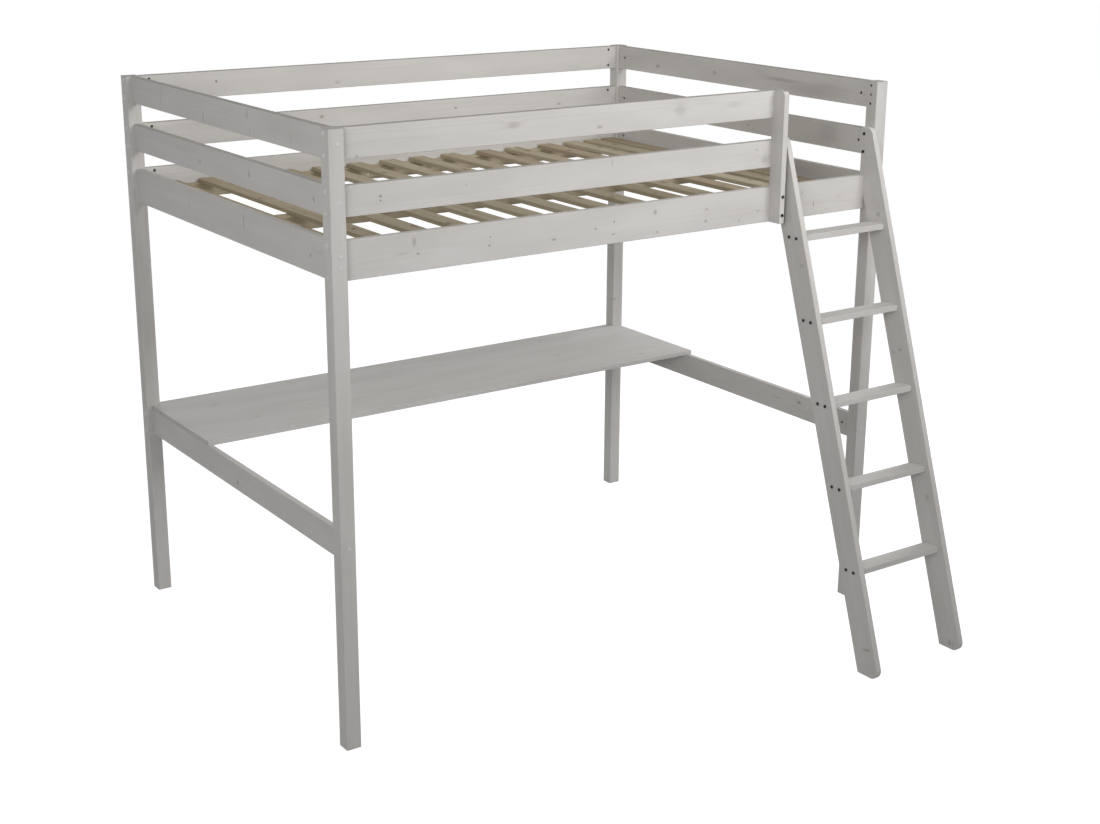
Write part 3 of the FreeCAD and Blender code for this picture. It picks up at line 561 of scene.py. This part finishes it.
# %% Finishes of the small parts
def small_finish(name, dull, bright, grain, rough, bump, metal=0.0, specular=0.5):
    """A finish that goes from one colour to another in cloudy patches, with fine marks of its own grain."""
    finish, bench, shader, place = new_finish(name)
    cloud = bench.noise(place, (160.0, 160.0, 160.0), 3.0)
    mark = bench.noise(place, grain, 2.0)
    both = bench.math("MULTIPLY_ADD", mark, 0.4, bench.math("MULTIPLY", cloud, 0.6))
    bench.feed(shader.inputs["Base Color"], bench.blend(bench.fade(both, 0.35, 0.65), dull, bright))
    bench.feed(shader.inputs["Roughness"], bench.fade(mark, 0.3, 0.7, *rough))
    shader.inputs["Metallic"].default_value = metal
    shader.inputs["Specular IOR Level"].default_value = specular
    raise_surface(bench, shader, both, bump)
    return finish


beech = small_finish("beech", (0.50, 0.33, 0.20, 1), (0.62, 0.45, 0.29, 1), (900, 900, 900), (0.5, 0.65), 0.1 * MM)
zinc = small_finish(
    "zinc", (0.50, 0.51, 0.52, 1), (0.68, 0.69, 0.70, 1), (200, 1500, 1500), (0.28, 0.46), 0.05 * MM, metal=1.0
)
# Painted shade: the barrel nuts sit deep in their holes, so their zinc is coloured a very dark grey
zinc_in_painted_shade = small_finish(
    "zinc_in_painted_shade", (0.035, 0.034, 0.032, 1), (0.085, 0.083, 0.080, 1), (1500, 1500, 1500), (0.45, 0.60), 0.05 * MM,
    metal=1.0,
)
blackened = small_finish(
    "blackened_steel", (0.012, 0.012, 0.013, 1), (0.045, 0.044, 0.043, 1), (1500, 1500, 1500), (0.26, 0.45),
    0.05 * MM, metal=0.6,
)
plastic = small_finish(
    "cap_plastic", (0.595, 0.590, 0.580, 1), (0.640, 0.635, 0.625, 1), (2500, 2500, 2500), (0.40, 0.52), 0.03 * MM
)
give_finish("dowels", beech)
# The barrel nuts get the zinc with painted shade
give_finish("barrel_nuts", zinc_in_painted_shade)
for name in ("frame_bolts", "ladder_nuts", "desk_brackets"):
    give_finish(name, zinc)
print("small finishes:", [finish.name for finish in (beech, zinc, zinc_in_painted_shade, blackened, plastic)])

# %% [markdown]
# ## Finding the caps and screws
# The solids hold all caps in one group and each kind of screw in another. A screw is a turned shape, so of its
# three spans two are alike and the odd one is its axis; its head is at the end where it is widest. Reading that
# from a merged copy of the group gives the seats, and nothing is placed by eye.


# %% Seats of the turned parts
def read_seats(name):
    """Outer end, outward way and widest radius of each turned part in a group."""
    shape = bmesh.new()
    shape.from_mesh(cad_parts[name].data)
    bmesh.ops.remove_doubles(shape, verts=shape.verts, dist=0.001 * MM)
    left = set(shape.verts)
    seats = []
    while left:
        island, edge_of_search = set(), [left.pop()]
        while edge_of_search:
            corner = edge_of_search.pop()
            island.add(corner)
            for edge in corner.link_edges:
                other = edge.other_vert(corner)
                if other in left:
                    left.discard(other)
                    edge_of_search.append(other)
        seats.append(seat_of(np.array([corner.co for corner in island])))
    shape.free()
    return sorted(seats, key=lambda seat: tuple(round(v, 5) for v in seat[0]))


def seat_of(points):
    low, high = points.min(0), points.max(0)
    spans = high - low
    order = np.argsort(spans)
    odd_is_long = spans[order[1]] - spans[order[0]] < spans[order[2]] - spans[order[1]]
    axis = int(order[2] if odd_is_long else order[0])
    middle = (low + high) / 2
    aside = points - middle
    aside[:, axis] = 0
    reach = np.linalg.norm(aside, axis=1)
    up_side = points[:, axis] > middle[axis]
    outward = 1.0 if reach[up_side].max() > reach[~up_side].max() else -1.0
    seat = middle.copy()
    seat[axis] = high[axis] if outward > 0 else low[axis]
    facing = [0.0, 0.0, 0.0]
    facing[axis] = outward
    return tuple(seat), tuple(facing), float(reach.max()), float(spans[axis])


TURNED = ("bolt_caps", "connector_screws", "ladder_bolts", "slat_screws", "board_screws", "bracket_screws")
seats = {name: read_seats(name) for name in TURNED}
for name, found in seats.items():
    print(name, len(found), "radius", round(found[0][2] / MM, 2), "length", round(found[0][3] / MM, 2), "mm")

# %% [markdown]
# ## Turning one head of each kind
# A cap or screw head is a profile turned round its axis. The recess for the key is not round, so each ring of
# the profile may also follow a hexagon or a cross, with the same number of points, and the rings are joined by
# faces. Cutting the recess with a boolean would also work, but it leaves uneven faces.

# %% Rings joined into one head
ROUND, HEXAGON, CROSS = "round", "hexagon", "cross"
CROSS_WAIST_SHARE = 0.36


def ring_radius(outline, radius, angle, number):
    if outline == HEXAGON:
        return radius * math.cos(math.pi / 6) / math.cos(angle % (math.pi / 3) - math.pi / 6)
    if outline == CROSS and number % 3 == 0:
        return radius * CROSS_WAIST_SHARE
    return radius


def turn_head(name, sides, rings):
    """A closed head. Rings go from its inner end out to its face and into its recess: height, radius, outline."""
    shape = bmesh.new()
    start = math.pi / 4
    loops = []
    for height, radius, outline in rings:
        loop = []
        for number in range(sides):
            angle = start + 2 * math.pi * number / sides
            reach = ring_radius(outline, radius, angle, number)
            loop.append(shape.verts.new((reach * math.cos(angle), reach * math.sin(angle), height)))
        loops.append(loop)
    for lower, upper in zip(loops, loops[1:]):
        for number in range(sides):
            after = (number + 1) % sides
            shape.faces.new((lower[number], lower[after], upper[after], upper[number]))
    shape.faces.new(loops[0][::-1])
    shape.faces.new(loops[-1])
    bmesh.ops.recalc_face_normals(shape, faces=shape.faces)
    mesh = bpy.data.meshes.new(name)
    shape.to_mesh(mesh)
    shape.free()
    head = bpy.data.objects.new(name, mesh)
    bpy.context.scene.collection.objects.link(head)
    print(name, "faces:", len(mesh.polygons))
    return head


def cap_rings(radius, length):
    """A flat dome with a rounded lip, a small mark of the mould in its middle and a stem in the bore."""
    stem = 0.74 * radius
    return (
        (-length, 0.92 * stem, ROUND), (-0.8 * length, stem, ROUND), (-1.15 * MM, stem, ROUND),
        (-1.2 * MM, radius, ROUND), (-0.75 * MM, radius, ROUND), (-0.35 * MM, 0.95 * radius, ROUND),
        (-0.12 * MM, 0.83 * radius, ROUND), (0, 0.5 * radius, ROUND), (0, 0.17 * radius, ROUND),
        (-0.2 * MM, 0.13 * radius, ROUND), (-0.2 * MM, 0.04 * radius, ROUND),
    )


def socket_rings(radius, length):
    """A low cylinder head with eased edges and a hexagon socket, on its shank."""
    shank, key = 3 * MM, 0.56 * radius
    return (
        (-length, 0.6 * shank, ROUND), (-length + 2 * MM, shank, ROUND), (-3 * MM, shank, ROUND),
        (-3 * MM, 0.97 * radius, ROUND), (-1.3 * MM, radius, ROUND), (-0.5 * MM, 0.97 * radius, ROUND),
        (-0.12 * MM, 0.89 * radius, ROUND), (0, 0.78 * radius, ROUND), (0, key, HEXAGON),
        (-0.3 * MM, 0.93 * key, HEXAGON), (-2 * MM, 0.9 * key, HEXAGON), (-2.4 * MM, 0.3 * key, HEXAGON),
    )


def countersunk_rings(radius, length):
    """A countersunk head with a cross recess, on a shank that ends in a point."""
    shank = 0.48 * radius
    return (
        (-length, 0.12 * shank, ROUND), (-0.86 * length, shank, ROUND), (-0.58 * radius, shank, ROUND),
        (-0.12 * radius, radius, ROUND), (0, 0.95 * radius, ROUND), (0, 0.56 * radius, CROSS),
        (-0.42 * radius, 0.3 * radius, CROSS),
    )


# %% [markdown]
# ## Setting the heads with Geometry Nodes
# The same head sits at dozens of seats, so a Geometry Nodes tree sets them: points carry the way that each head
# faces, the tree turns a copy of the head that way, gives it a twist of its own from a fixed seed, because no
# one lines up the recesses, and ends as one plain mesh with its finish. Copying in a loop would do it as well,
# but here the size, the twist and the seed stay inputs that can be tried out.


# %% Tree that sets heads on their seats
def seating_tree():
    tree = bpy.data.node_groups.new("set_heads", "GeometryNodeTree")
    inputs = (
        ("Seats", "NodeSocketGeometry"), ("Head", "NodeSocketObject"), ("Size", "NodeSocketFloat"),
        ("Twist", "NodeSocketFloat"), ("Seed", "NodeSocketInt"), ("Finish", "NodeSocketMaterial"),
    )
    for label, kind in inputs:
        tree.interface.new_socket(label, in_out="INPUT", socket_type=kind)
    tree.interface.new_socket("Heads", in_out="OUTPUT", socket_type="NodeSocketGeometry")
    bench = Bench(tree)
    given = bench.node("NodeGroupInput").outputs
    facing = bench.node("GeometryNodeInputNamedAttribute", data_type="FLOAT_VECTOR")
    bench.feed(facing.inputs["Name"], "facing")
    turn = bench.node("FunctionNodeAlignRotationToVector", axis="Z")
    bench.feed(turn.inputs["Vector"], facing.outputs["Attribute"])
    angle = bench.node("FunctionNodeRandomValue", data_type="FLOAT")
    bench.feed(angle.inputs[3], given["Twist"])
    bench.feed(angle.inputs["Seed"], given["Seed"])
    spin = bench.node("FunctionNodeAxisAngleToRotation")
    bench.feed(spin.inputs["Angle"], angle.outputs[1])
    both = bench.node("FunctionNodeRotateRotation", rotation_space="LOCAL")
    bench.feed(both.inputs["Rotation"], turn.outputs["Rotation"])
    bench.feed(both.inputs["Rotate By"], spin.outputs["Rotation"])
    head = bench.node("GeometryNodeObjectInfo")
    bench.feed(head.inputs["Object"], given["Head"])
    copies = bench.node("GeometryNodeInstanceOnPoints")
    bench.feed(copies.inputs["Points"], given["Seats"])
    bench.feed(copies.inputs["Instance"], head.outputs["Geometry"])
    bench.feed(copies.inputs["Rotation"], both.outputs["Rotation"])
    bench.feed(copies.inputs["Scale"], given["Size"])
    real = bench.node("GeometryNodeRealizeInstances")
    bench.feed(real.inputs["Geometry"], copies.outputs["Instances"])
    dressed = bench.node("GeometryNodeSetMaterial")
    bench.feed(dressed.inputs["Geometry"], real.outputs["Geometry"])
    bench.feed(dressed.inputs["Material"], given["Finish"])
    bench.feed(bench.node("NodeGroupOutput").inputs["Heads"], dressed.outputs["Geometry"])
    return tree


set_heads = seating_tree()
print("set_heads nodes:", len(set_heads.nodes))

# %% Set every cap and screw
SHARP_FROM = math.radians(32)


def seat_points(name):
    """A mesh of bare points at the seats, each with the way its head faces."""
    mesh = bpy.data.meshes.new(name + "_seats")
    mesh.from_pydata([seat[0] for seat in seats[name]], [], [])
    facing = mesh.attributes.new("facing", "FLOAT_VECTOR", "POINT")
    facing.data.foreach_set("vector", [value for seat in seats[name] for value in seat[1]])
    return mesh


def set_on_seats(name, label, head, finish, twist, seed):
    carrier = bpy.data.objects.new(label + "_carrier", seat_points(name))
    bpy.context.scene.collection.objects.link(carrier)
    tool = carrier.modifiers.new("set_heads", "NODES")
    tool.node_group = set_heads
    wanted = {"Head": head, "Size": 1.0, "Twist": twist, "Seed": seed, "Finish": finish}
    for socket in set_heads.interface.items_tree:
        if socket.in_out == "INPUT" and socket.name in wanted:
            tool[socket.identifier] = wanted[socket.name]
    looked = bpy.context.evaluated_depsgraph_get()
    mesh = bpy.data.meshes.new_from_object(carrier.evaluated_get(looked), depsgraph=looked)
    carrier.modifiers.remove(tool)
    for used in (carrier, head):
        bpy.data.objects.remove(used)
    mesh.polygons.foreach_set("use_smooth", [True] * len(mesh.polygons))
    mesh.set_sharp_from_angle(angle=SHARP_FROM)
    mesh.name = label
    piece = bpy.data.objects.new(label, mesh)
    bpy.context.scene.collection.objects.link(piece)
    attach(piece, "root")
    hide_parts(name)
    print(label, "heads:", len(seats[name]), "faces:", len(mesh.polygons))


FULL_TURN = 2 * math.pi
HEAD_KINDS = (
    ("bolt_caps", "moulded_caps", cap_rings, 32, plastic, "cap_plastic"),
    ("connector_screws", "socket_screws", socket_rings, 24, blackened, "dark_steel"),
    ("ladder_bolts", "socket_bolts", socket_rings, 24, blackened, "dark_steel"),
    ("slat_screws", "slat_screw_heads", countersunk_rings, 12, zinc, "zinc_steel"),
    ("board_screws", "board_screw_heads", countersunk_rings, 12, zinc, "zinc_steel"),
    ("bracket_screws", "bracket_screw_heads", countersunk_rings, 12, zinc, "zinc_steel"),
)
for seed, (name, label, rings, sides, finish, slot) in enumerate(HEAD_KINDS, start=11):
    radius, length = seats[name][0][2], min(seat[3] for seat in seats[name])
    head = turn_head(label + "_head", sides, rings(radius, length))
    set_on_seats(name, label, head, finish, FULL_TURN, seed)

# %% [markdown]
# ## Floor and room light
# The picture is a studio shot on white. The floor and the world are white only to the camera and in gloss; the
# light they give the bed is a plain soft one, so the wood keeps its own tones. The floor adds a little of its
# real shading to the white, which keeps a faint shadow under the posts and the ladder.

# %% Floor and world
FLOOR_HALF = 15.0
FLOOR_DARK, FLOOR_LIGHT = (0.36, 0.36, 0.36, 1), (0.40, 0.40, 0.40, 1)
FLOOR_GLOW = 0.88
WHITE = (1, 1, 1, 1)


def seen_directly(bench):
    """1 for the camera, for gloss and for what is seen through glass; 0 for light that falls on the bed."""
    path = bench.node("ShaderNodeLightPath").outputs
    gloss = bench.math("MAXIMUM", path["Is Glossy Ray"], path["Is Transmission Ray"])
    return bench.math("MAXIMUM", path["Is Camera Ray"], gloss)


floor_mesh = bpy.data.meshes.new("studio_floor")
floor_corners = [(x * FLOOR_HALF, y * FLOOR_HALF, 0) for x, y in ((-1, -1), (1, -1), (1, 1), (-1, 1))]
floor_mesh.from_pydata(floor_corners, [], [(0, 1, 2, 3)])
floor = bpy.data.objects.new("studio_floor", floor_mesh)
bpy.context.scene.collection.objects.link(floor)

floor_finish, bench, shader, place = new_finish("pale_floor")
mottle = bench.noise(place, (3.0, 3.0, 3.0), 2.0)
bench.feed(shader.inputs["Base Color"], bench.blend(mottle, FLOOR_DARK, FLOOR_LIGHT))
shader.inputs["Roughness"].default_value = 0.9
shader.inputs["Specular IOR Level"].default_value = 0.0
glow = bench.node("ShaderNodeEmission")
glow.inputs["Strength"].default_value = FLOOR_GLOW
shaded = bench.node("ShaderNodeAddShader")
bench.feed(shaded.inputs[0], glow.outputs[0])
bench.feed(shaded.inputs[1], shader.outputs[0])
chosen = bench.node("ShaderNodeMixShader")
bench.feed(chosen.inputs[0], seen_directly(bench))
bench.feed(chosen.inputs[1], shader.outputs[0])
bench.feed(chosen.inputs[2], shaded.outputs[0])
bench.feed(floor_finish.node_tree.nodes["Material Output"].inputs["Surface"], chosen.outputs[0])
floor_mesh.materials.append(floor_finish)

ROOM_LIGHT = 0.355
world = bpy.data.worlds.new("white_studio")
bpy.context.scene.world = world
world.use_nodes = True
bench = Bench(world.node_tree)
soft = world.node_tree.nodes["Background"]
soft.inputs["Color"].default_value = WHITE
soft.inputs["Strength"].default_value = ROOM_LIGHT
white = bench.node("ShaderNodeBackground")
white.inputs["Color"].default_value = WHITE
chosen = bench.node("ShaderNodeMixShader")
bench.feed(chosen.inputs[0], seen_directly(bench))
bench.feed(chosen.inputs[1], soft.outputs[0])
bench.feed(chosen.inputs[2], white.outputs[0])
bench.feed(world.node_tree.nodes["World Output"].inputs["Surface"], chosen.outputs[0])
print("floor and world set, room light", ROOM_LIGHT)

# %% [markdown]
# ## Lamps
# In the picture the faces towards the viewer are the lightest, most of all near the ladder's head, the ends of
# the bed are greyer and everything gets darker towards the floor. That is a large soft lamp in front of the bed,
# high up and to the right, with its beam narrowed on the upper half. A second one far to the left lifts the end
# faces, a third low on the right brightens the right half of the desk under the deck, and the room does the rest.
# A weak fourth lights the back; it stands low, so that it hardly reaches the top of the desk.
# Each lamp has its place, its aim, its two sides in metres, the spread of its beam in degrees and its power.

# %% Four soft lamps
LAMPS = (
    ("front_lamp", (1.2, -3.6, 3.4), (0.2, 0.5, 1.8), (2.4, 1.8), 75, 21.5),
    ("left_lamp", (-5.0, -4.0, 3.4), (0.0, 0.0, 1.7), (3.0, 2.5), 60, 19.5),
    ("right_lamp", (4.0, 0.8, 1.9), (0.5, 0.8, 0.7), (1.5, 1.5), 120, 30.0),
    ("back_lamp", (0.0, 6.0, 0.9), (0.0, 1.0, 1.1), (3.0, 1.0), 75, 15.0),
)
for label, stand, aim, size, spread, power in LAMPS:
    light = bpy.data.lights.new(label, "AREA")
    light.shape = "RECTANGLE"
    light.size, light.size_y = size
    light.spread = math.radians(spread)
    light.energy = power
    lamp = bpy.data.objects.new(label, light)
    lamp.location = stand
    lamp.rotation_euler = (Vector(aim) - Vector(stand)).to_track_quat("-Z", "Y").to_euler()
    lamp.visible_camera = False
    bpy.context.scene.collection.objects.link(lamp)
    print(label, "power", power)

# %% [markdown]
# ## Camera
# The picture's upright lines stay upright, so its camera looked only a little down and its lens was shifted
# down. The eye was worked out from the posts, rails and the ladder for a picture of 1100 by 824, and raised by
# 40 mm, because it decides what hides what and the light between the slats has to show over the middle rail.
# From there the look down is mostly a tilt here and only a small part is shift, so that the bed also stays in
# frame from other sides.

# %% Camera at the picture's angle
PICTURE_WIDTH = 1100
FOCAL_PIXELS = 1709.2
SENSOR_WIDTH = 36.0
LENS_SHIFT = -0.02
EYE = Vector((-3.1400, -4.5288, 2.4960))
YAW, PITCH, ROLL = (math.radians(angle) for angle in (34.783, -16.852, 0.365))

ahead = Vector((math.sin(YAW) * math.cos(PITCH), math.cos(YAW) * math.cos(PITCH), math.sin(PITCH)))
level_right = Vector((math.cos(YAW), -math.sin(YAW), 0))
level_up = level_right.cross(ahead)
right = math.cos(ROLL) * level_right + math.sin(ROLL) * level_up
up = math.cos(ROLL) * level_up - math.sin(ROLL) * level_right
lens = bpy.data.cameras.new("picture_camera")
lens.sensor_fit = "HORIZONTAL"
lens.sensor_width = SENSOR_WIDTH
lens.lens = SENSOR_WIDTH * FOCAL_PIXELS / PICTURE_WIDTH
lens.shift_y = LENS_SHIFT
camera = bpy.data.objects.new("picture_camera", lens)
camera.matrix_world = Matrix.Translation(EYE) @ Matrix((right, up, -ahead)).transposed().to_4x4()
bpy.context.scene.collection.objects.link(camera)
bpy.context.scene.camera = camera
bpy.context.scene.view_settings.view_transform = "Standard"
print("lens", round(lens.lens, 2), "mm, shift", LENS_SHIFT)
